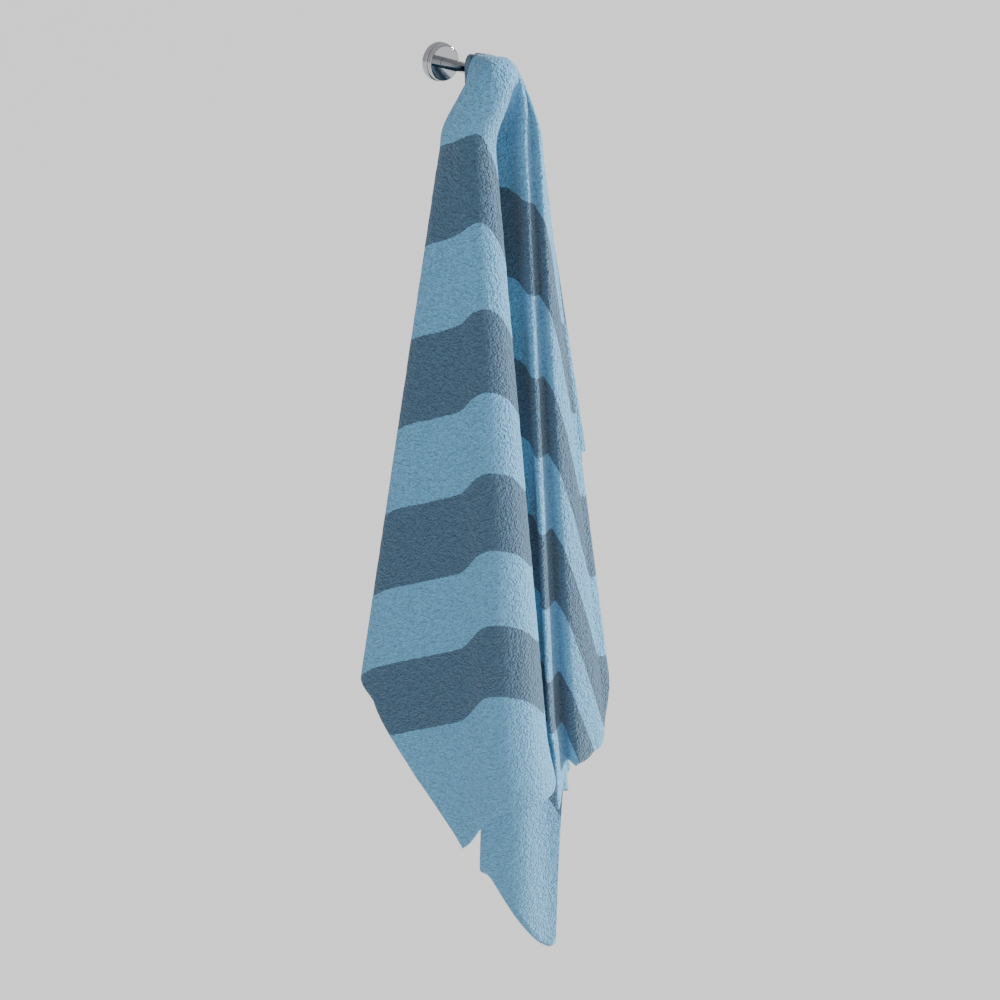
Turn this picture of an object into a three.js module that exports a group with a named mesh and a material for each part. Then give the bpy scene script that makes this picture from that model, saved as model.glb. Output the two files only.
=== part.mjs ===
import * as THREE from 'three';

// Towel hung by one point of its middle on the knob of a chrome wall hook.
// Frame: millimetres, +Z up, wall plane y = 0, the hook axis on the Y axis, the towel at negative y.

// Flat size of the towel and the place on it that rests on the knob
const FRONT_LENGTH = 752;
const BACK_LENGTH = 892;
const LEFT_WIDTH = 247;
const RIGHT_WIDTH = 360;
const THICKNESS = 2;

// Crown of the hanging towel, over the knob
const CROWN_X = 2;
const CROWN_Y = -81;
const CROWN_Z = 13;
const CROWN_WIDE = 30;
const CROWN_DEEP = 24;
const CROWN_ROUND = 10;
const CROWN_LEAVE = 12;

// Distances from the crown, measured along the cloth, of the near and far plan points of a fold
const NEAR = 80;
const FAR = 600;

// The fold lines turn by their swing near the crown and run straight below it
const SWING_LENGTH = 190;

// The end of the sheet curls up over this stretch of cloth
const CURL_START = 630;
const CURL_LENGTH = 160;

// Faceting of the cloth
const CROWN_RINGS = [7, 16, 27, 40, 57, 80];
const LOWER_RINGS = 13;
const RING_GROWTH = 1.12;
const EDGE_STEPS = 12;

// Hook: distances off the wall, radii, edge rounds and chamfers
const PLATE_RADIUS = 16.4;
const PLATE_BACK = 0;
const PLATE_FRONT = 5.2;
const PLATE_ROUND = 2.2;
const PLATE_CHAMFER = 0.4;
const COVER_RADIUS = 15.3;
const COVER_BACK = 5.5;
const COVER_FRONT = 10.8;
const COVER_ROUND = 1.6;
const COVER_CHAMFER = 1.1;
const PEG_RADIUS = 4.65;
const PEG_START = 11.1;
const KNOB_RADIUS = 11;
const KNOB_CENTRE = 80;
const KNOB_STEPS = 12;
const ROUND_STEPS = 6;
const HOOK_SEGMENTS = 48;

// One row for each fold line, in order round the crown.
// name, angle, swing (degrees on the flat cloth, 0 straight down the front, positive to the right),
// bearing (degrees in plan at the crown, 0 along +X, 90 away from the wall), drop per length of cloth,
// lift of the curled end, plan point near the crown (x, y), plan point far from it (x, y), cells to the next
const FOLDS = [
  ['over peg', -107, 0, 270, 0.004, 0, 0, -60, 0, -40, 2],
  ['left arch', -104.5, 0, 254, 0.03, 0, -8, -61, -11, -42, 2],
  ['left lip', -99, 0, 240, 0.25, 0, -11, -62, -14, -44, 3],
  ['left rear', -75, 0, 230, 0.80, 0, -17, -56, -52, -22, 2],
  ['left layer', -50, 0, 218, 0.92, 0, -25, -53, -30, -16, 3],
  ['left fold', -24.5, -12, 205, 0.985, 0, -34, -54, -107, -15, 2],
  ['plateau', -23, -10, 192, 0.972, 0, -35, -62, -105, -34, 2],
  ['trough', -20.7, -6, 178, 0.978, 0, -32, -70, -74, -51, 2],
  ['left corner', -18.2, 0, 165, 0.972, -9, -30, -76, -38, -81, 2],
  ['front ridge', -12, 10, 135, 0.95, 0, -22, -83, -25, -104, 3],
  ['shoulder', -8, 56, 95, 0.98, 21, -11, -86, 8, -118, 3],
  ['front side', -5, 94, 78, 1.03, 62, 0, -82, 34, -112, 2],
  ['pocket in', -1, 92, 70, 1.0, 62, 1, -76, 32, -102, 2],
  ['pocket bend', 3, 89, 62, 0.98, 60, -5, -72.5, -12, -85, 2],
  ['pocket end', 8, 86, 56, 0.97, 90, -12, -68, -58, -49, 2],
  ['pocket turn', 11, 84, 50, 0.97, 90, -8, -61, -52, -43, 4],
  ['right rise', 20.5, 66, 42, 1.0, 80, 23, -65, 46, -85, 3],
  ['right ridge', 24.5, 64, 36, 1.01, 80, 25, -88, 50, -100, 3],
  ['crease', 26.5, 68, 30, 0.99, 50, 36, -86, 71, -90, 3],
  ['third ridge', 28, 72, 26, 1.0, 20, 38, -93, 74, -104, 2],
  ['third side', 31, 80, 20, 1.09, 0, 44, -89, 99, -106, 3],
  ['right fold', 33, 112, 12, 1.19, 0, 49, -83.5, 126, -102, 2],
  ['right panel', 36.5, 111, 8, 1.15, 0, 52, -78, 125, -92, 3],
  ['tuck 1', 49, 102, 5, 1.09, 0, 54, -73.5, -68, -32, 2],
  ['tuck 2', 51, 102, 2, 1.09, 0, 55, -70.3, -68, -27.5, 3],
  ['pleat 1', 67, 88, -1, 1.05, 0, 56, -68, 122, -90, 2],
  ['pleat 2', 69, 88, -3, 1.05, 0, 56.5, -65, 122, -84, 3],
  ['tuck 3', 88, 71, -6, 1.01, 0, 57, -62, -74, -23, 2],
  ['tuck 4', 90, 71, -9, 1.01, 0, 57, -59.5, -74, -18, 3],
  ['pleat 3', 108, 55, -12, 1.0, 0, 57, -57, 121, -78, 2],
  ['pleat 4', 110, 54, -15, 1.0, 0, 57, -54, 121, -72, 3],
  ['tuck 5', 122, 44, -18, 1.0, 0, 57, -51, -46, -26, 2],
  ['tuck 6', 124, 43, -21, 1.0, 0, 56, -48.5, -46, -21, 3],
  ['back right 1', 138.5, 29, -23, 1.01, 0, 55, -46, 120, -69, 2],
  ['back right 2', 140.5, 27, -25, 1.01, 0, 53.5, -43.5, 114, -61, 3],
  ['back corner', 157.8, 13, -27, 1.033, 0, 51, -41.5, 81, -50, 2],
  ['tail middle', 161.7, 10, -29, 1.015, 0, 48, -38, 57, -47, 2],
  ['tail left', 165, 9, -31, 0.95, 0, 44, -35, 34, -35.5, 2],
  ['back fold 1', 167, 9, -33, 0.94, 0, 40, -32, 31, -30, 3],
  ['back fold 2', 174, 6, -35, 0.97, 80, 36, -28, 78, -43, 2],
  ['back fold 3', 176, 6, -37, 0.97, 80, 32, -25, 79, -37, 3],
  ['back fold 4', 184, 3, -40, 0.86, 80, 28, -22, -20, -16.5, 2],
  ['back fold 5', 186, 3, -42, 0.86, 80, 24, -19, -21, -11, 3],
  ['back fold 6', 194, 1, -45, 0.93, 80, 20, -17, 78, -29, 2],
  ['back fold 7', 196, 1, -47, 0.93, 80, 16, -14, 78, -23, 3],
  ['back fold 8', 204, 0, -50, 0.94, 0, 11, -12, 10, -6, 3],
  ['back left', 209, 0, -53, 0.92, 0, 5, -12, -48, -6, 2],
  ['back turn', 215, 0, -56, 0.90, 0, 0, -17, -52, -15, 3],
  ['right rear', 230, 0, -58, 0.75, 0, 3, -36, -12, -24, 3],
  ['right lip', 245, 0, -61, 0.25, 0, 8, -53, 10, -42, 2],
  ['right arch', 250.5, 0, -74, 0.03, 0, 7, -57, 9, -40, 2],
];
const ANGLE = 1;
const SWING = 2;
const BEARING = 3;
const DROP = 4;
const LIFT = 5;
const NEAR_X = 6;
const NEAR_Y = 7;
const FAR_X = 8;
const FAR_Y = 9;
const CELLS = 10;

function smooth(x) {
  const t = Math.min(1, Math.max(0, x));
  return t * t * (3 - 2 * t);
}

function radians(degrees) {
  return (degrees * Math.PI) / 180;
}

// Point of one fold line at a distance from the crown, with its angle on the flat cloth as fourth value
function foldPoint(index, distance) {
  const count = FOLDS.length;
  const turn = Math.floor(index / count);
  const row = FOLDS[index - turn * count];
  const inner = Math.min(1, distance / NEAR);
  const open = Math.sqrt(Math.max(0, 1 - (1 - inner) ** 2));
  const folded = smooth((distance - CROWN_LEAVE) / (NEAR - CROWN_LEAVE));
  const beyond = Math.max(0, distance - NEAR) / (FAR - NEAR);
  const bearing = radians(row[BEARING]);
  const crownX = CROWN_WIDE * Math.cos(bearing);
  const crownY = -CROWN_DEEP * Math.sin(bearing);
  const foldX = row[NEAR_X] - CROWN_X;
  const foldY = row[NEAR_Y] - CROWN_Y;
  const x = CROWN_X + open * (crownX + folded * (foldX - crownX)) + beyond * (row[FAR_X] - row[NEAR_X]);
  const y = CROWN_Y + open * (crownY + folded * (foldY - crownY)) + beyond * (row[FAR_Y] - row[NEAR_Y]);
  const fall = Math.hypot(distance, CROWN_ROUND) - CROWN_ROUND;
  const z = CROWN_Z - row[DROP] * fall + row[LIFT] * smooth((distance - CURL_START) / CURL_LENGTH);
  const angle = row[ANGLE] + 360 * turn + row[SWING] * Math.exp(-distance / SWING_LENGTH);
  return [x, y, z, angle];
}

// Smooth curve through four neighbouring fold points
function blend(a, b, c, d, t) {
  const linear = c - a;
  const square = 2 * a - 5 * b + 4 * c - d;
  const cube = 3 * b - a - 3 * c + d;
  return 0.5 * (2 * b + linear * t + square * t * t + cube * t * t * t);
}

// Point of the cloth between fold lines: station is the index of the fold and the fraction to the next
function clothPoint(station, distance) {
  const index = Math.floor(station);
  const t = station - index;
  const a = foldPoint(index - 1, distance);
  const b = foldPoint(index, distance);
  const c = foldPoint(index + 1, distance);
  const d = foldPoint(index + 2, distance);
  const point = [0, 1, 2].map((k) => blend(a[k], b[k], c[k], d[k], t));
  point.push(b[3] + t * (c[3] - b[3]));
  return point;
}

// Length of cloth from the crown to the hem at an angle on the flat cloth
function hemDistance(degrees) {
  const across = Math.sin(radians(degrees));
  const down = Math.cos(radians(degrees));
  const side = across > 0 ? RIGHT_WIDTH / across : LEFT_WIDTH / Math.max(-across, 1e-9);
  const end = down > 0 ? FRONT_LENGTH / down : BACK_LENGTH / Math.max(-down, 1e-9);
  return Math.min(side, end);
}

function columnHem(station) {
  let distance = (FRONT_LENGTH + LEFT_WIDTH) / 2;
  for (let step = 0; step < EDGE_STEPS; step += 1) {
    const angle = clothPoint(station, distance)[3];
    distance = (distance + hemDistance(angle)) / 2;
  }
  return distance;
}

// Middle surface of the cloth: rings of points round the crown, the last ring on the hem
function clothRings() {
  const stations = [];
  FOLDS.forEach((row, index) => {
    for (let cell = 0; cell < row[CELLS]; cell += 1) {
      stations.push(index + cell / row[CELLS]);
    }
  });
  const hems = stations.map(columnHem);
  const start = CROWN_RINGS[CROWN_RINGS.length - 1];
  const rings = CROWN_RINGS.map((distance) => stations.map((station) => clothPoint(station, distance)));
  for (let ring = 1; ring <= LOWER_RINGS; ring += 1) {
    const part = (ring / LOWER_RINGS) ** RING_GROWTH;
    rings.push(stations.map((station, k) => clothPoint(station, start + part * (hems[k] - start))));
  }
  return rings;
}

// Closed sheet: the middle surface moved half the thickness to both sides and joined round the hem
function sheetGeometry(rings) {
  const across = rings[0].length;
  const middle = [new THREE.Vector3(CROWN_X, CROWN_Y, CROWN_Z)];
  rings.forEach((ring) => {
    ring.forEach((point) => middle.push(new THREE.Vector3(point[0], point[1], point[2])));
  });
  const at = (ring, column) => 1 + ring * across + (column % across);
  const faces = [];
  for (let column = 0; column < across; column += 1) {
    faces.push([0, at(0, column + 1), at(0, column)]);
    for (let ring = 0; ring + 1 < rings.length; ring += 1) {
      faces.push([at(ring, column), at(ring, column + 1), at(ring + 1, column + 1)]);
      faces.push([at(ring, column), at(ring + 1, column + 1), at(ring + 1, column)]);
    }
  }
  const normals = middle.map(() => new THREE.Vector3());
  faces.forEach(([a, b, c]) => {
    const first = middle[b].clone().sub(middle[a]);
    const second = middle[c].clone().sub(middle[a]);
    const normal = first.cross(second);
    [a, b, c].forEach((k) => normals[k].add(normal));
  });
  normals.forEach((normal) => normal.normalize());
  const outer = middle.map((point, k) => point.clone().addScaledVector(normals[k], THICKNESS / 2));
  const inner = middle.map((point, k) => point.clone().addScaledVector(normals[k], -THICKNESS / 2));
  const under = middle.length;
  const index = [];
  faces.forEach(([a, b, c]) => {
    index.push(a, b, c);
    index.push(under + a, under + c, under + b);
  });
  const hem = rings.length - 1;
  for (let column = 0; column < across; column += 1) {
    const a = at(hem, column);
    const b = at(hem, column + 1);
    index.push(a, b, under + b);
    index.push(a, under + b, under + a);
  }
  const geometry = new THREE.BufferGeometry();
  geometry.setFromPoints(outer.concat(inner));
  geometry.setIndex(index);
  geometry.computeVertexNormals();
  return geometry;
}

// Solid of revolution about the hook axis from (radius, distance off the wall) pairs
function turned(profile) {
  const points = profile.map(([radius, off]) => new THREE.Vector2(radius, off));
  const geometry = new THREE.LatheGeometry(points, HOOK_SEGMENTS);
  geometry.rotateX(Math.PI);
  return geometry;
}

// Rounded front edge of a disc, from its rim to its front face, as profile points
function roundedEdge(radius, front, round) {
  const points = [];
  for (let step = 0; step <= ROUND_STEPS; step += 1) {
    const angle = (step / ROUND_STEPS) * (Math.PI / 2);
    points.push([radius - round * (1 - Math.cos(angle)), front - round * (1 - Math.sin(angle))]);
  }
  return points;
}

const steel = new THREE.MeshStandardMaterial({ color: 0xc9ccd0, roughness: 0.12, metalness: 1 });
const satin = new THREE.MeshStandardMaterial({ color: 0xb9bcc0, roughness: 0.25, metalness: 1 });
const terry = new THREE.MeshStandardMaterial({ color: 0x7ba6c4, roughness: 0.95, metalness: 0 });

const plate = new THREE.Mesh(
  turned([
    [0, PLATE_BACK],
    [PLATE_RADIUS - PLATE_CHAMFER, PLATE_BACK],
    [PLATE_RADIUS, PLATE_BACK + PLATE_CHAMFER],
    ...roundedEdge(PLATE_RADIUS, PLATE_FRONT, PLATE_ROUND),
    [0, PLATE_FRONT],
  ]),
  satin,
);
plate.name = 'hook_plate';

const cover = new THREE.Mesh(
  turned([
    [0, COVER_BACK],
    [COVER_RADIUS - COVER_CHAMFER, COVER_BACK],
    [COVER_RADIUS, COVER_BACK + COVER_CHAMFER],
    ...roundedEdge(COVER_RADIUS, COVER_FRONT, COVER_ROUND),
    [0, COVER_FRONT],
  ]),
  steel,
);
cover.name = 'hook_cover';

// The peg runs straight out of the cover and ends in the ball that carries the towel
function pegProfile() {
  const profile = [[0, PEG_START], [PEG_RADIUS, PEG_START]];
  const meet = Math.asin(PEG_RADIUS / KNOB_RADIUS);
  for (let step = 0; step <= KNOB_STEPS; step += 1) {
    const angle = meet + (step / KNOB_STEPS) * (Math.PI - meet);
    const radius = step === KNOB_STEPS ? 0 : KNOB_RADIUS * Math.sin(angle);
    profile.push([radius, KNOB_CENTRE - KNOB_RADIUS * Math.cos(angle)]);
  }
  return profile;
}

const peg = new THREE.Mesh(turned(pegProfile()), steel);
peg.name = 'hook_peg';

const towel = new THREE.Mesh(sheetGeometry(clothRings()), terry);
towel.name = 'towel';

const group = new THREE.Group();
group.name = 'towel_on_wall_hook';
group.add(plate, cover, peg, towel);

export default group;
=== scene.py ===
import math

import bpy
import numpy as np
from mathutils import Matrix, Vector


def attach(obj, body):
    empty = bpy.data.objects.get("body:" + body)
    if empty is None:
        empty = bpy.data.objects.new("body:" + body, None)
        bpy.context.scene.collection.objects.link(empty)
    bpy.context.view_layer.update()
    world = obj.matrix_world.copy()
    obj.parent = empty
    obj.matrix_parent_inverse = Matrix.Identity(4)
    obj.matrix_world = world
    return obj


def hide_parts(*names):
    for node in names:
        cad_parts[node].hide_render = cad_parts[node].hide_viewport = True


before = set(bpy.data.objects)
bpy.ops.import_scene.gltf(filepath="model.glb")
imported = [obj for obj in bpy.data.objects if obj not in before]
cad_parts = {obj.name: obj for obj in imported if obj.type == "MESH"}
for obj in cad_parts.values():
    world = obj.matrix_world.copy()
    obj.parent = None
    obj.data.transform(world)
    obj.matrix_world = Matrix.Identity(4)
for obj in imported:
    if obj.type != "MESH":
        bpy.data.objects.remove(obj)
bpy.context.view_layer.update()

bl_info = {
    "name": "Towel on a wall hook",
    "version": (1, 0, 0),
    "blender": (4, 2, 0),
    "location": "View3D > Sidebar > Towel",
    "description": "Builds a striped terry towel hung over the ball end of a chrome wall hook",
    "category": "Add Mesh",
}

MM = 0.001
# Keeps a division by a vanishing sine or cosine finite
TINY = 1e-9

# Crown of the hanging towel, over the ball end, in millimetres
CROWN = (2.0, -81.0, 13.0)
CROWN_WIDE = 30.0
CROWN_DEEP = 24.0
CROWN_ROUND = 10.0
CROWN_LEAVE = 12.0
# Cloth lengths at which a fold line passes its near and its far plan point
NEAR = 80.0
FAR = 600.0
# Cloth length over which the swing of a fold line fades
SWING_LENGTH = 190.0
# Cloth length where the lift of a hem starts, and the length over which it grows
CURL_START = 630.0
CURL_LENGTH = 160.0
# First guess for the cloth length to the hem, and the number of steps that correct it
HEM_GUESS = 500.0
HEM_STEPS = 30
# Rings of the towel mesh lie closer near the crown: weights of an even and a squared spacing
EVEN_WEIGHT = 0.55
SQUARED_WEIGHT = 0.45
# The middle of the rim bulges past the two faces by this part of the last cell
RIM_BULGE = 0.25

# Terry shader: fraying of the band edges, then the tufts with the shade painted into their colour,
# and their sheen
FRAY_SCALE = 420.0
FRAY_DETAIL = 2.0
FRAY_WIDTH = 0.003
TUFT_SMOOTHNESS = 0.6
WARP_SCALE = 0.5
WARP_DETAIL = 3.0
WARP_REACH = 1.5
CLUMP_WEIGHT = 1.4
CLUMP_RANGE = (0.9, 1.8)
SHADE_RANGE = (0.74, 1.12)
SHEEN = 0.25
SHEEN_ROUGHNESS = 0.5
SPECULAR = 0.15
TERRY_ROUGHNESS = 0.95
# Uneven surface of the sheet: size of one swelling in metres, and detail of its noise
RELIEF_SIZE = 0.012
RELIEF_DETAIL = 1.0

# Hook: distances off the wall and sizes of the edges, in metres
PLATE_FRONT = 0.0052
PLATE_ROUND = 0.0022
PLATE_CHAMFER = 0.0004
COVER_BACK = 0.0055
COVER_FRONT = 0.0108
COVER_ROUND = 0.0016
COVER_CHAMFER = 0.0011
COVER_RING = 0.004
PEG_BACK = 0.0111
KNOB_STEPS = 32
# Profile points this close together keep the shading of an edge crisp
CREASE = 0.0001
MERGE_DISTANCE = 1e-6
POLISHED_ROUGHNESS = 0.06
SATIN_ROUGHNESS = 0.16

# Stage: places in metres, angles in degrees
FLOOR_HALF = 45.0
FLOOR_ROUGHNESS = 0.9
SUN_FROM = (0.90, -0.40, 0.30)
SUN_SPREAD = 9.0
SUN_COLOUR = (1.0, 0.98, 0.95)
FILL_PLACE = (-1.6, -2.4, 0.4)
FILL_AIM = (0.0, -0.08, -0.45)
FILL_SIZE = 2.0
FILL_POWER = 5.0
FILL_COLOUR = (0.92, 0.96, 1.0)
CAMERA_PLACE = (-0.779, -1.1624, 0.2382)
CAMERA_YAW = -36.0
CAMERA_DOWN = 25.0
CAMERA_LENS = 57.6
CAMERA_SENSOR = 36.0

# One row for each fold line, in order round the crown: name, angle, swing, bearing, drop, lift,
# x near, y near, x far, y far, cells to the next row. Angle, swing and bearing are in degrees, drop
# is the fall for each millimetre of cloth, and lift and the plan points are in millimetres.
FOLDS = [
    ("over peg", -107, 0, 270, 0.004, 0, 0, -60, 0, -40, 2),
    ("left arch", -104.5, 0, 254, 0.03, 0, -8, -61, -11, -42, 2),
    ("left lip", -99, 0, 240, 0.25, 0, -11, -62, -14, -44, 3),
    ("left rear", -75, 0, 230, 0.80, 0, -17, -56, -52, -22, 2),
    ("left layer", -50, 0, 218, 0.92, 0, -25, -53, -30, -16, 3),
    ("left fold", -24.5, -12, 205, 0.985, 0, -34, -54, -107, -15, 2),
    ("plateau", -23, -10, 192, 0.972, 0, -35, -62, -105, -34, 2),
    ("trough", -20.7, -6, 178, 0.978, 0, -32, -70, -74, -51, 2),
    ("left corner", -18.2, 0, 165, 0.972, -9, -30, -76, -38, -81, 2),
    ("front ridge", -12, 10, 135, 0.95, 0, -22, -83, -25, -104, 3),
    ("shoulder", -8, 56, 95, 0.98, 21, -11, -86, 8, -118, 3),
    ("front side", -5, 94, 78, 1.03, 62, 0, -82, 34, -112, 2),
    ("pocket in", -1, 92, 70, 1.0, 62, 1, -76, 32, -102, 2),
    ("pocket bend", 3, 89, 62, 0.98, 60, -5, -72.5, -12, -85, 2),
    ("pocket end", 8, 86, 56, 0.97, 90, -12, -68, -58, -49, 2),
    ("pocket turn", 11, 84, 50, 0.97, 90, -8, -61, -52, -43, 4),
    ("right rise", 20.5, 66, 42, 1.0, 80, 23, -65, 46, -85, 3),
    ("right ridge", 24.5, 64, 36, 1.01, 80, 25, -88, 50, -100, 3),
    ("crease", 26.5, 68, 30, 0.99, 50, 36, -86, 71, -90, 3),
    ("third ridge", 28, 72, 26, 1.0, 20, 38, -93, 74, -104, 2),
    ("third side", 31, 80, 20, 1.09, 0, 44, -89, 99, -106, 3),
    ("right fold", 33, 112, 12, 1.19, 0, 49, -83.5, 126, -102, 2),
    ("right panel", 36.5, 111, 8, 1.15, 0, 52, -78, 125, -92, 3),
    ("tuck 1", 49, 102, 5, 1.09, 0, 54, -73.5, -68, -32, 2),
    ("tuck 2", 51, 102, 2, 1.09, 0, 55, -70.3, -68, -27.5, 3),
    ("pleat 1", 67, 88, -1, 1.05, 0, 56, -68, 122, -90, 2),
    ("pleat 2", 69, 88, -3, 1.05, 0, 56.5, -65, 122, -84, 3),
    ("tuck 3", 88, 71, -6, 1.01, 0, 57, -62, -74, -23, 2),
    ("tuck 4", 90, 71, -9, 1.01, 0, 57, -59.5, -74, -18, 3),
    ("pleat 3", 108, 55, -12, 1.0, 0, 57, -57, 121, -78, 2),
    ("pleat 4", 110, 54, -15, 1.0, 0, 57, -54, 121, -72, 3),
    ("tuck 5", 122, 44, -18, 1.0, 0, 57, -51, -46, -26, 2),
    ("tuck 6", 124, 43, -21, 1.0, 0, 56, -48.5, -46, -21, 3),
    ("back right 1", 138.5, 29, -23, 1.01, 0, 55, -46, 120, -69, 2),
    ("back right 2", 140.5, 27, -25, 1.01, 0, 53.5, -43.5, 114, -61, 3),
    ("back corner", 157.8, 13, -27, 1.033, 0, 51, -41.5, 81, -50, 2),
    ("tail middle", 161.7, 10, -29, 1.015, 0, 48, -38, 57, -47, 2),
    ("tail left", 165, 9, -31, 0.95, 0, 44, -35, 34, -35.5, 2),
    ("back fold 1", 167, 9, -33, 0.94, 0, 40, -32, 31, -30, 3),
    ("back fold 2", 174, 6, -35, 0.97, 80, 36, -28, 78, -43, 2),
    ("back fold 3", 176, 6, -37, 0.97, 80, 32, -25, 79, -37, 3),
    ("back fold 4", 184, 3, -40, 0.86, 80, 28, -22, -20, -16.5, 2),
    ("back fold 5", 186, 3, -42, 0.86, 80, 24, -19, -21, -11, 3),
    ("back fold 6", 194, 1, -45, 0.93, 80, 20, -17, 78, -29, 2),
    ("back fold 7", 196, 1, -47, 0.93, 80, 16, -14, 78, -23, 3),
    ("back fold 8", 204, 0, -50, 0.94, 0, 11, -12, 10, -6, 3),
    ("back left", 209, 0, -53, 0.92, 0, 5, -12, -48, -6, 2),
    ("back turn", 215, 0, -56, 0.90, 0, 0, -17, -52, -15, 3),
    ("right rear", 230, 0, -58, 0.75, 0, 3, -36, -12, -24, 3),
    ("right lip", 245, 0, -61, 0.25, 0, 8, -53, 10, -42, 2),
    ("right arch", 250.5, 0, -74, 0.03, 0, 7, -57, 9, -40, 2),
]
TABLE = np.array([row[1:-1] for row in FOLDS], dtype=float)
CELLS = [row[-1] for row in FOLDS]


def smooth(x):
    t = np.clip(x, 0.0, 1.0)
    return t * t * (3.0 - 2.0 * t)


def fold_points(index, distance):
    """Points of fold lines at a distance from the crown, with the angle on the flat cloth last."""
    count = len(TABLE)
    turn = np.floor_divide(index, count)
    row = TABLE[index - turn * count]
    angle, swing, bearing, drop, lift, near_x, near_y, far_x, far_y = row.T
    inner = np.minimum(1.0, distance / NEAR)
    opened = np.sqrt(np.maximum(0.0, 1.0 - (1.0 - inner) ** 2))
    folded = smooth((distance - CROWN_LEAVE) / (NEAR - CROWN_LEAVE))
    beyond = np.maximum(0.0, distance - NEAR) / (FAR - NEAR)
    crown_x = CROWN_WIDE * np.cos(np.radians(bearing))
    crown_y = -CROWN_DEEP * np.sin(np.radians(bearing))
    x = CROWN[0] + opened * (crown_x + folded * (near_x - CROWN[0] - crown_x))
    y = CROWN[1] + opened * (crown_y + folded * (near_y - CROWN[1] - crown_y))
    x = x + beyond * (far_x - near_x)
    y = y + beyond * (far_y - near_y)
    fall = np.hypot(distance, CROWN_ROUND) - CROWN_ROUND
    z = CROWN[2] - drop * fall + lift * smooth((distance - CURL_START) / CURL_LENGTH)
    flat = angle + 360.0 * turn + swing * np.exp(-distance / SWING_LENGTH)
    return np.stack([x, y, z, flat], axis=-1)


def cloth_points(station, distance):
    """Points of the cloth between the fold lines, on a smooth curve through four neighbours."""
    index = np.floor(station).astype(int)
    t = (station - index)[:, None]
    a, b, c, d = (fold_points(index + k, distance) for k in (-1, 0, 1, 2))
    second = 2 * a - 5 * b + 4 * c - d
    third = 3 * b - a - 3 * c + d
    curve = 0.5 * (2 * b + (c - a) * t + second * t**2 + third * t**3)
    # the angle on the flat cloth runs straight from one fold line to the next
    curve[:, 3] = (b + t * (c - b))[:, 3]
    return curve


def hem_distance(degrees, front, back, left, right):
    """Cloth length from the crown to the hem at an angle on the flat cloth."""
    across, down = np.sin(np.radians(degrees)), np.cos(np.radians(degrees))
    side = np.where(across > 0, right, left) / np.maximum(np.abs(across), TINY)
    end = np.where(down > 0, front, back) / np.maximum(np.abs(down), TINY)
    return np.minimum(side, end)


def hem_lengths(stations, towel):
    """Cloth length to the hem in every column, by steps because the columns swing on the way."""
    size = [value / MM for value in (towel.front, towel.back, towel.left, towel.right)]
    hem = np.full(len(stations), HEM_GUESS)
    for _ in range(HEM_STEPS):
        hem = (hem + hem_distance(cloth_points(stations, hem)[:, 3], *size)) / 2
    return hem


def middle_surface(towel):
    """Middle surface of the sheet in metres, its points on the flat cloth, and its columns."""
    stations = []
    for index, cells in enumerate(CELLS):
        steps = cells * towel.columns
        stations.extend(index + k / steps for k in range(steps))
    stations = np.array(stations)
    hem = hem_lengths(stations, towel)
    share = np.linspace(0.0, 1.0, towel.rows + 1)[1:]
    parts = EVEN_WEIGHT * share + SQUARED_WEIGHT * share**2
    grid = np.array([cloth_points(stations, part * hem) for part in parts])
    length = parts[:, None] * hem
    turn = np.radians(grid[:, :, 3])
    middle = np.vstack([[CROWN], grid[:, :, :3].reshape(-1, 3)]) * MM
    cloth = np.zeros_like(middle)
    cloth[1:, 0] = (length * np.sin(turn)).ravel() * MM
    cloth[1:, 1] = (length * np.cos(turn)).ravel() * MM
    return middle, cloth, len(stations)


def point_normals(points, faces):
    """Normals of a surface at its points, read from a mesh that is removed again."""
    probe = bpy.data.meshes.new("probe")
    probe.from_pydata([tuple(p) for p in points], [], faces)
    probe.update()
    normals = np.array([vertex.normal for vertex in probe.vertices])
    bpy.data.meshes.remove(probe)
    return normals


def new_mesh(name, points, faces):
    mesh = bpy.data.meshes.new(name)
    mesh.from_pydata([tuple(p) for p in points], [], faces)
    mesh.validate()
    mesh.update()
    obj = bpy.data.objects.new(name, mesh)
    bpy.context.scene.collection.objects.link(obj)
    for polygon in mesh.polygons:
        polygon.use_smooth = True
    return obj


def link_value(tree, value, socket):
    """A number goes straight on the socket, a socket is linked to it."""
    if isinstance(value, (int, float)):
        socket.default_value = value
    else:
        tree.links.new(value, socket)


def maths(tree, operation, first, second=0.0, third=0.0):
    node = tree.nodes.new("ShaderNodeMath")
    node.operation = operation
    for value, socket in zip((first, second, third), node.inputs):
        link_value(tree, value, socket)
    return node.outputs[0]


def plain_material(name, colour, roughness, metallic=0.0):
    material = bpy.data.materials.new(name)
    material.use_nodes = True
    shader = material.node_tree.nodes["Principled BSDF"]
    shader.inputs["Base Color"].default_value = (*colour, 1.0)
    shader.inputs["Roughness"].default_value = roughness
    shader.inputs["Metallic"].default_value = metallic
    return material


def noise_texture(tree, vector, scale, detail):
    noise = tree.nodes.new("ShaderNodeTexNoise")
    noise.inputs["Scale"].default_value = scale
    noise.inputs["Detail"].default_value = detail
    tree.links.new(vector, noise.inputs["Vector"])
    return noise


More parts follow.
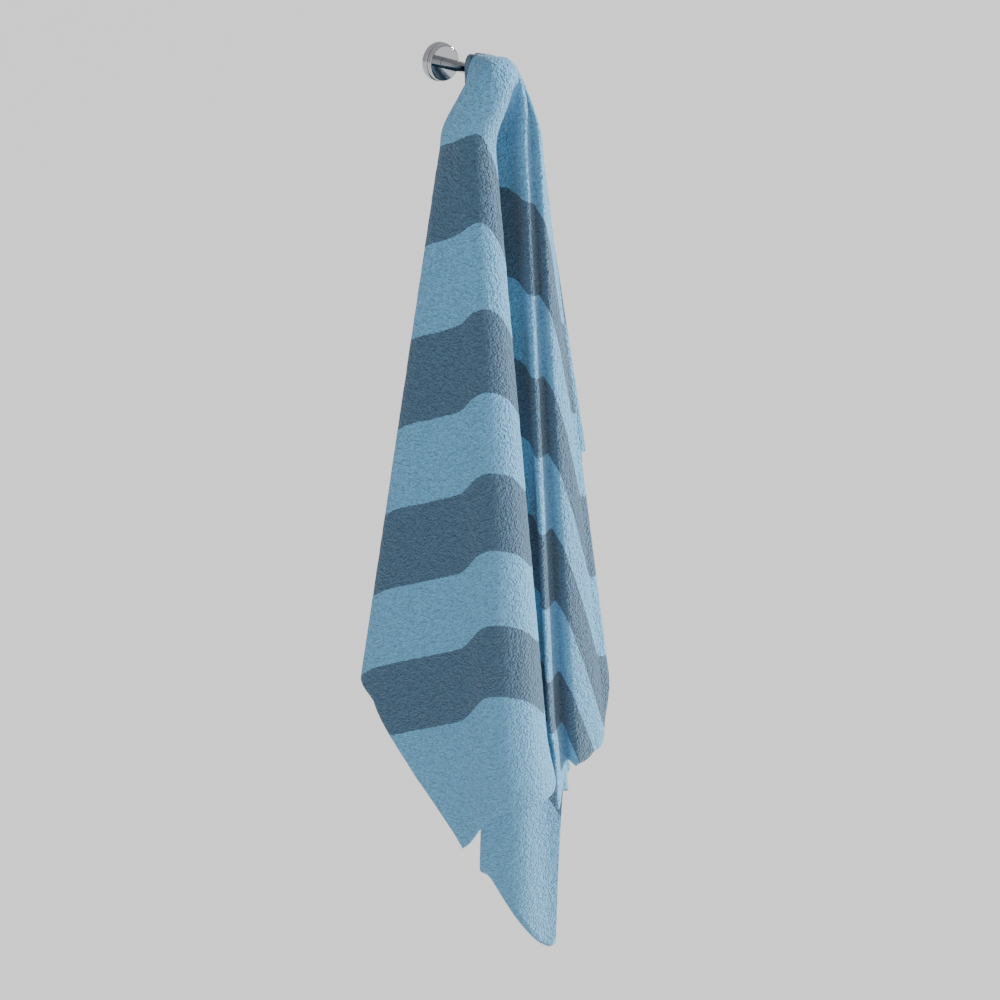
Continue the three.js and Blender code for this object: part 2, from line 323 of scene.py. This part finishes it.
def terry_material(towel, cloth):
    """Striped terry: bands across the cloth from its own coordinates, loop pile as a bump, and
    painted shade of the pile in the colour.
    """
    material = plain_material("terry", towel.light_colour, TERRY_ROUGHNESS)
    tree = material.node_tree
    shader = tree.nodes["Principled BSDF"]
    place = tree.nodes.new("ShaderNodeAttribute")
    place.attribute_name = "cloth"
    apart = tree.nodes.new("ShaderNodeSeparateXYZ")
    tree.links.new(place.outputs["Vector"], apart.inputs[0])
    fray = noise_texture(tree, place.outputs["Vector"], FRAY_SCALE, FRAY_DETAIL)
    centred = maths(tree, "SUBTRACT", fray.outputs["Fac"], 0.5)
    along = maths(tree, "ADD", apart.outputs["Y"], maths(tree, "MULTIPLY", centred, FRAY_WIDTH))
    # every second band is dark, counted from the first edge
    past_edge = maths(tree, "SUBTRACT", along, towel.first_edge)
    odd = maths(tree, "FRACT", maths(tree, "DIVIDE", past_edge, 2.0 * towel.band))
    dark = maths(tree, "LESS_THAN", odd, 0.5)
    plain_front = maths(tree, "LESS_THAN", along, towel.front - towel.plain_end)
    plain_back = maths(tree, "GREATER_THAN", along, towel.back_end - towel.back)
    dark = maths(tree, "MULTIPLY", dark, maths(tree, "MULTIPLY", plain_front, plain_back))
    colour = tree.nodes.new("ShaderNodeMix")
    colour.data_type = "RGBA"
    tree.links.new(dark, colour.inputs["Factor"])
    colour.inputs["A"].default_value = (*towel.light_colour, 1.0)
    colour.inputs["B"].default_value = (*towel.dark_colour, 1.0)
    # painted light and shade: the tufts are painted lighter and the gaps between them darker, with
    # random tone from the warp noise on top
    loops = tree.nodes.new("ShaderNodeTexVoronoi")
    loops.feature = "SMOOTH_F1"
    loops.inputs["Scale"].default_value = 1.0 / towel.loop
    loops.inputs["Smoothness"].default_value = TUFT_SMOOTHNESS
    space = tree.nodes.new("ShaderNodeTexCoord")
    warp = noise_texture(tree, space.outputs["Object"], WARP_SCALE / towel.loop, WARP_DETAIL)
    bend = tree.nodes.new("ShaderNodeVectorMath")
    bend.operation = "MULTIPLY_ADD"
    tree.links.new(warp.outputs["Color"], bend.inputs[0])
    bend.inputs[1].default_value = (WARP_REACH * towel.loop,) * 3
    tree.links.new(space.outputs["Object"], bend.inputs[2])
    tree.links.new(bend.outputs[0], loops.inputs["Vector"])
    swell = maths(tree, "SUBTRACT", 1.0, loops.outputs["Distance"])
    clump = maths(tree, "MULTIPLY_ADD", warp.outputs["Fac"], CLUMP_WEIGHT, swell)
    shade = tree.nodes.new("ShaderNodeMapRange")
    shade.inputs["From Min"].default_value = CLUMP_RANGE[0]
    shade.inputs["From Max"].default_value = CLUMP_RANGE[1]
    shade.inputs["To Min"].default_value = SHADE_RANGE[0]
    shade.inputs["To Max"].default_value = SHADE_RANGE[1]
    tree.links.new(clump, shade.inputs["Value"])
    # the band colour scaled by the painted shade of the tufts
    colour_with_painted_shade = tree.nodes.new("ShaderNodeVectorMath")
    colour_with_painted_shade.operation = "SCALE"
    tree.links.new(colour.outputs["Result"], colour_with_painted_shade.inputs[0])
    tree.links.new(shade.outputs[0], colour_with_painted_shade.inputs["Scale"])
    tree.links.new(colour_with_painted_shade.outputs[0], shader.inputs["Base Color"])
    bump = tree.nodes.new("ShaderNodeBump")
    bump.inputs["Strength"].default_value = 1.0
    bump.inputs["Distance"].default_value = towel.pile
    tree.links.new(clump, bump.inputs["Height"])
    tree.links.new(bump.outputs[0], shader.inputs["Normal"])
    shader.inputs["Sheen Weight"].default_value = SHEEN
    shader.inputs["Sheen Roughness"].default_value = SHEEN_ROUGHNESS
    shader.inputs["Specular IOR Level"].default_value = SPECULAR
    cloth.data.materials.append(material)
    return material


def relief_group(material):
    """Geometry Nodes: moves points along their normals by a noise, as uneven pile does."""
    group = bpy.data.node_groups.new("Pile relief", "GeometryNodeTree")
    group.interface.new_socket("Geometry", in_out="INPUT", socket_type="NodeSocketGeometry")
    group.interface.new_socket("Amount", in_out="INPUT", socket_type="NodeSocketFloat")
    group.interface.new_socket("Size", in_out="INPUT", socket_type="NodeSocketFloat")
    group.interface.new_socket("Geometry", in_out="OUTPUT", socket_type="NodeSocketGeometry")
    nodes, links = group.nodes, group.links
    start, end = nodes.new("NodeGroupInput"), nodes.new("NodeGroupOutput")
    noise = nodes.new("ShaderNodeTexNoise")
    noise.inputs["Detail"].default_value = RELIEF_DETAIL
    per_size = nodes.new("ShaderNodeMath")
    per_size.operation = "DIVIDE"
    per_size.inputs[0].default_value = 1.0
    links.new(start.outputs["Size"], per_size.inputs[1])
    links.new(per_size.outputs[0], noise.inputs["Scale"])
    links.new(nodes.new("GeometryNodeInputPosition").outputs[0], noise.inputs["Vector"])
    centred = nodes.new("ShaderNodeMath")
    centred.operation = "SUBTRACT"
    centred.inputs[1].default_value = 0.5
    links.new(noise.outputs["Fac"], centred.inputs[0])
    amount = nodes.new("ShaderNodeMath")
    amount.operation = "MULTIPLY"
    links.new(centred.outputs[0], amount.inputs[0])
    links.new(start.outputs["Amount"], amount.inputs[1])
    offset = nodes.new("ShaderNodeVectorMath")
    offset.operation = "SCALE"
    links.new(nodes.new("GeometryNodeInputNormal").outputs[0], offset.inputs[0])
    links.new(amount.outputs[0], offset.inputs["Scale"])
    move = nodes.new("GeometryNodeSetPosition")
    links.new(start.outputs["Geometry"], move.inputs["Geometry"])
    links.new(offset.outputs[0], move.inputs["Offset"])
    realize = nodes.new("GeometryNodeRealizeInstances")
    links.new(move.outputs[0], realize.inputs[0])
    finish = nodes.new("GeometryNodeSetMaterial")
    finish.inputs["Material"].default_value = material
    links.new(realize.outputs[0], finish.inputs["Geometry"])
    links.new(finish.outputs[0], end.inputs[0])
    return group


def bake(obj, group, values):
    """The result of the node group becomes the object's plain mesh and the modifier goes."""
    modifier = obj.modifiers.new(group.name, "NODES")
    modifier.node_group = group
    for item in group.interface.items_tree:
        if item.item_type == "SOCKET" and item.in_out == "INPUT" and item.name in values:
            modifier[item.identifier] = values[item.name]
    bpy.context.view_layer.update()
    evaluated = obj.evaluated_get(bpy.context.evaluated_depsgraph_get())
    mesh = bpy.data.meshes.new_from_object(evaluated)
    obj.modifiers.remove(modifier)
    obj.data = mesh


class TowelSettings(bpy.types.PropertyGroup):
    front: bpy.props.FloatProperty(
        name="Front length", description="From the hook point to the front end",
        default=0.752, unit="LENGTH")
    back: bpy.props.FloatProperty(
        name="Back length", description="From the hook point to the back end",
        default=0.892, unit="LENGTH")
    left: bpy.props.FloatProperty(
        name="Left width", description="From the hook point to the left side",
        default=0.247, unit="LENGTH")
    right: bpy.props.FloatProperty(
        name="Right width", description="From the hook point to the right side",
        default=0.36, unit="LENGTH")
    thickness: bpy.props.FloatProperty(
        name="Thickness", description="Thickness of the sheet", default=0.0024, unit="LENGTH")
    band: bpy.props.FloatProperty(
        name="Band", description="Width of one stripe", default=0.078, unit="LENGTH")
    first_edge: bpy.props.FloatProperty(
        name="First edge", description="Hook point to the first stripe in front",
        default=0.0694, unit="LENGTH")
    plain_end: bpy.props.FloatProperty(
        name="Plain front end", description="Length of the plain light end in front",
        default=0.137, unit="LENGTH")
    back_end: bpy.props.FloatProperty(
        name="Plain back end", description="Length of the plain light end at the back",
        default=0.181, unit="LENGTH")
    loop: bpy.props.FloatProperty(
        name="Loop size", description="Size of one tuft of the pile", default=0.0019, unit="LENGTH")
    pile: bpy.props.FloatProperty(
        name="Pile depth", description="Depth of the pile bump", default=0.0020, unit="LENGTH")
    relief: bpy.props.FloatProperty(
        name="Relief", description="Unevenness of the surface", default=0.0009, unit="LENGTH")
    light_colour: bpy.props.FloatVectorProperty(
        name="Light colour", description="Light blue bands",
        default=(0.17, 0.47, 0.75), subtype="COLOR")
    dark_colour: bpy.props.FloatVectorProperty(
        name="Dark colour", description="Slate blue bands",
        default=(0.08, 0.165, 0.26), subtype="COLOR")
    columns: bpy.props.IntProperty(
        name="Column steps", description="Mesh cells for each cell of the fold table",
        default=3, min=1)
    rows: bpy.props.IntProperty(
        name="Rows", description="Mesh cells from the crown to the hem", default=120, min=20)


class HookSettings(bpy.types.PropertyGroup):
    plate_radius: bpy.props.FloatProperty(
        name="Plate radius", description="Radius of the back plate", default=0.0164, unit="LENGTH")
    cover_radius: bpy.props.FloatProperty(
        name="Cover radius", description="Radius of the front disc", default=0.0153, unit="LENGTH")
    peg_radius: bpy.props.FloatProperty(
        name="Peg radius", description="Radius of the straight peg", default=0.00465, unit="LENGTH")
    knob_radius: bpy.props.FloatProperty(
        name="Ball radius", description="Radius of the ball end", default=0.0110, unit="LENGTH")
    knob_centre: bpy.props.FloatProperty(
        name="Ball distance", description="Ball centre from the wall", default=0.080, unit="LENGTH")
    chrome: bpy.props.FloatVectorProperty(
        name="Chrome", description="Colour of the metal",
        default=(0.46, 0.47, 0.49), subtype="COLOR")


class StageSettings(bpy.types.PropertyGroup):
    floor: bpy.props.FloatProperty(
        name="Floor height", description="Height of the floor", default=-1.6, unit="LENGTH")
    pale: bpy.props.FloatVectorProperty(
        name="Pale", description="Colour of floor and surroundings",
        default=(0.95, 0.957, 0.965), subtype="COLOR")
    surround: bpy.props.FloatProperty(
        name="Surround", description="Strength of the pale surroundings", default=0.6)
    key: bpy.props.FloatProperty(
        name="Key light", description="Strength of the light from the right", default=7.0)


class TOWEL_OT_towel(bpy.types.Operator):
    """Build the hanging striped towel"""

    bl_idname = "towel_hook.towel"
    bl_label = "Towel"

    def execute(self, context):
        towel = context.scene.towel_settings
        middle, cloth, across = middle_surface(towel)
        faces = []
        for j in range(across):
            k = (j + 1) % across
            faces.append((0, 1 + k, 1 + j))
            for i in range(towel.rows - 1):
                a, b = 1 + i * across, 1 + (i + 1) * across
                faces.append((a + j, a + k, b + k, b + j))
        # the two faces of the sheet lie half its thickness from the middle surface
        normals = point_normals(middle, faces)
        count = len(middle)
        half = towel.thickness / 2
        last = 1 + (towel.rows - 1) * across
        outer, inner = middle + half * normals, middle - half * normals
        round_rim = middle[last:] + (middle[last:] - middle[last - across:last]) * RIM_BULGE
        points = np.vstack([outer, inner, round_rim])
        shell = list(faces)
        shell += [tuple(count + v for v in reversed(face)) for face in faces]
        rim = 2 * count
        for j in range(across):
            k = (j + 1) % across
            shell.append((last + j, last + k, rim + k, rim + j))
            shell.append((rim + j, rim + k, count + last + k, count + last + j))
        obj = new_mesh("towel_cloth", points, shell)
        place = obj.data.attributes.new("cloth", "FLOAT_VECTOR", "POINT")
        both = np.vstack([cloth, cloth, cloth[last:]])
        place.data.foreach_set("vector", both.astype(np.float32).ravel())
        material = terry_material(towel, obj)
        bake(obj, relief_group(material), {"Amount": towel.relief, "Size": RELIEF_SIZE})
        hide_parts("towel")
        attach(obj, "root")
        return {"FINISHED"}


def turned_group(material):
    """Geometry Nodes: joins doubled points of a turned piece and gives it its metal."""
    group = bpy.data.node_groups.new("Turned metal", "GeometryNodeTree")
    group.interface.new_socket("Geometry", in_out="INPUT", socket_type="NodeSocketGeometry")
    group.interface.new_socket("Merge", in_out="INPUT", socket_type="NodeSocketFloat")
    group.interface.new_socket("Geometry", in_out="OUTPUT", socket_type="NodeSocketGeometry")
    nodes, links = group.nodes, group.links
    start, end = nodes.new("NodeGroupInput"), nodes.new("NodeGroupOutput")
    merge = nodes.new("GeometryNodeMergeByDistance")
    links.new(start.outputs["Geometry"], merge.inputs["Geometry"])
    links.new(start.outputs["Merge"], merge.inputs["Distance"])
    realize = nodes.new("GeometryNodeRealizeInstances")
    links.new(merge.outputs[0], realize.inputs[0])
    finish = nodes.new("GeometryNodeSetMaterial")
    finish.inputs["Material"].default_value = material
    links.new(realize.outputs[0], finish.inputs["Geometry"])
    links.new(finish.outputs[0], end.inputs[0])
    return group


def turned_piece(name, profile, material, node, segments=128):
    """A closed solid turned about the hook axis from (radius, distance off the wall) pairs."""
    points, faces = [(0.0, -profile[0][1], 0.0)], []
    rings = profile[1:-1]
    for radius, off in rings:
        for k in range(segments):
            angle = 2 * math.pi * k / segments
            points.append((radius * math.cos(angle), -off, radius * math.sin(angle)))
    points.append((0.0, -profile[-1][1], 0.0))
    tip = len(points) - 1
    for k in range(segments):
        n = (k + 1) % segments
        faces.append((0, 1 + k, 1 + n))
        for ring in range(len(rings) - 1):
            a, b = 1 + ring * segments, 1 + (ring + 1) * segments
            faces.append((a + k, b + k, b + n, a + n))
        a = 1 + (len(rings) - 1) * segments
        faces.append((a + k, tip, a + n))
    obj = new_mesh(name, points, faces)
    obj.data.materials.append(material)
    bake(obj, turned_group(material), {"Merge": MERGE_DISTANCE})
    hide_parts(node)
    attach(obj, "root")


def back_edge(radius, off, chamfer):
    """Profile points of a disc's flat back and its chamfered edge."""
    inner = radius - chamfer
    front = off + chamfer
    points = [(0, off), (inner - CREASE, off), (inner, off)]
    points += [(radius, front), (radius, front + CREASE)]
    return points


def rounded_edge(radius, off, round_off, steps=8):
    """Profile points of a disc's rounded front edge."""
    points = [(radius, off - round_off - CREASE)]
    for step in range(steps + 1):
        angle = step / steps * math.pi / 2
        inward = round_off * (1 - math.cos(angle))
        points.append((radius - inward, off - round_off * (1 - math.sin(angle))))
    points.append((radius - round_off - CREASE, off))
    return points


class TOWEL_OT_hook(bpy.types.Operator):
    """Build the chrome plate, cover and peg of the wall hook"""

    bl_idname = "towel_hook.hook"
    bl_label = "Hook"

    def execute(self, context):
        hook = context.scene.hook_settings
        polished = plain_material("chrome_polished", hook.chrome, POLISHED_ROUGHNESS, metallic=1.0)
        satin = plain_material("chrome_satin", hook.chrome, SATIN_ROUGHNESS, metallic=1.0)
        plate = back_edge(hook.plate_radius, 0, PLATE_CHAMFER)
        plate += rounded_edge(hook.plate_radius, PLATE_FRONT, PLATE_ROUND)
        plate += [(0, PLATE_FRONT)]
        turned_piece("plate", plate, satin, "hook_plate")
        cover = back_edge(hook.cover_radius, COVER_BACK, COVER_CHAMFER)
        cover += rounded_edge(hook.cover_radius, COVER_FRONT, COVER_ROUND)
        cover += [(COVER_RING, COVER_FRONT), (0, COVER_FRONT)]
        turned_piece("cover", cover, polished, "hook_cover")
        start = math.asin(hook.peg_radius / hook.knob_radius)
        peg = [(0, PEG_BACK), (hook.peg_radius - CREASE, PEG_BACK)]
        peg += [(hook.peg_radius, PEG_BACK + CREASE), (hook.peg_radius, PEG_BACK + 2 * CREASE)]
        for step in range(KNOB_STEPS):
            angle = start + step / KNOB_STEPS * (math.pi - start)
            off = hook.knob_centre - hook.knob_radius * math.cos(angle)
            peg.append((hook.knob_radius * math.sin(angle), off))
        peg.append((0, hook.knob_centre + hook.knob_radius))
        turned_piece("peg", peg, polished, "hook_peg")
        return {"FINISHED"}


def area_light(name, place, aim, size, power, colour):
    data = bpy.data.lights.new(name, "AREA")
    data.shape = "DISK"
    data.size = size
    data.energy = power
    data.color = colour
    lamp = bpy.data.objects.new(name, data)
    lamp.location = place
    lamp.rotation_euler = (Vector(aim) - Vector(place)).to_track_quat("-Z", "Y").to_euler()
    bpy.context.scene.collection.objects.link(lamp)


class TOWEL_OT_stage(bpy.types.Operator):
    """Build the floor, the lights, the surroundings and the camera"""

    bl_idname = "towel_hook.stage"
    bl_label = "Stage"

    def execute(self, context):
        scene = context.scene
        stage = scene.stage_settings
        signs = ((-1, -1), (1, -1), (1, 1), (-1, 1))
        corners = [(x * FLOOR_HALF, y * FLOOR_HALF, stage.floor) for x, y in signs]
        floor = new_mesh("floor", corners, [(0, 1, 2, 3)])
        floor.data.materials.append(plain_material("pale_floor", stage.pale, FLOOR_ROUGHNESS))
        world = bpy.data.worlds.new("surround")
        world.use_nodes = True
        background = world.node_tree.nodes["Background"]
        background.inputs["Color"].default_value = (*stage.pale, 1.0)
        background.inputs["Strength"].default_value = stage.surround
        scene.world = world
        sun = bpy.data.lights.new("key", "SUN")
        sun.energy = stage.key
        sun.angle = math.radians(SUN_SPREAD)
        sun.color = SUN_COLOUR
        lamp = bpy.data.objects.new("key", sun)
        lamp.rotation_euler = Vector(SUN_FROM).to_track_quat("Z", "Y").to_euler()
        scene.collection.objects.link(lamp)
        area_light("fill", FILL_PLACE, FILL_AIM, FILL_SIZE, FILL_POWER, FILL_COLOUR)
        camera = bpy.data.objects.new("camera", bpy.data.cameras.new("camera"))
        camera.data.lens = CAMERA_LENS
        camera.data.sensor_width = CAMERA_SENSOR
        camera.location = CAMERA_PLACE
        camera.rotation_euler = (math.radians(90 - CAMERA_DOWN), 0.0, math.radians(CAMERA_YAW))
        scene.collection.objects.link(camera)
        scene.camera = camera
        return {"FINISHED"}


class TOWEL_PT_panel(bpy.types.Panel):
    bl_idname = "TOWEL_PT_panel"
    bl_label = "Towel on a wall hook"
    bl_space_type = "VIEW_3D"
    bl_region_type = "UI"
    bl_category = "Towel"

    def draw(self, context):
        scene = context.scene
        for settings in (scene.towel_settings, scene.hook_settings, scene.stage_settings):
            for name in settings.__annotations__:
                self.layout.prop(settings, name)
        for operator in OPERATORS:
            self.layout.operator(operator.bl_idname)


OPERATORS = (TOWEL_OT_towel, TOWEL_OT_hook, TOWEL_OT_stage)
CLASSES = (TowelSettings, HookSettings, StageSettings, *OPERATORS, TOWEL_PT_panel)


def register():
    for item in CLASSES:
        bpy.utils.register_class(item)
    bpy.types.Scene.towel_settings = bpy.props.PointerProperty(type=TowelSettings)
    bpy.types.Scene.hook_settings = bpy.props.PointerProperty(type=HookSettings)
    bpy.types.Scene.stage_settings = bpy.props.PointerProperty(type=StageSettings)


def unregister():
    del bpy.types.Scene.stage_settings
    del bpy.types.Scene.hook_settings
    del bpy.types.Scene.towel_settings
    for item in reversed(CLASSES):
        bpy.utils.unregister_class(item)


def main():
    register()
    bpy.ops.towel_hook.towel()
    bpy.ops.towel_hook.hook()
    bpy.ops.towel_hook.stage()


if __name__ == "__main__":
    main()
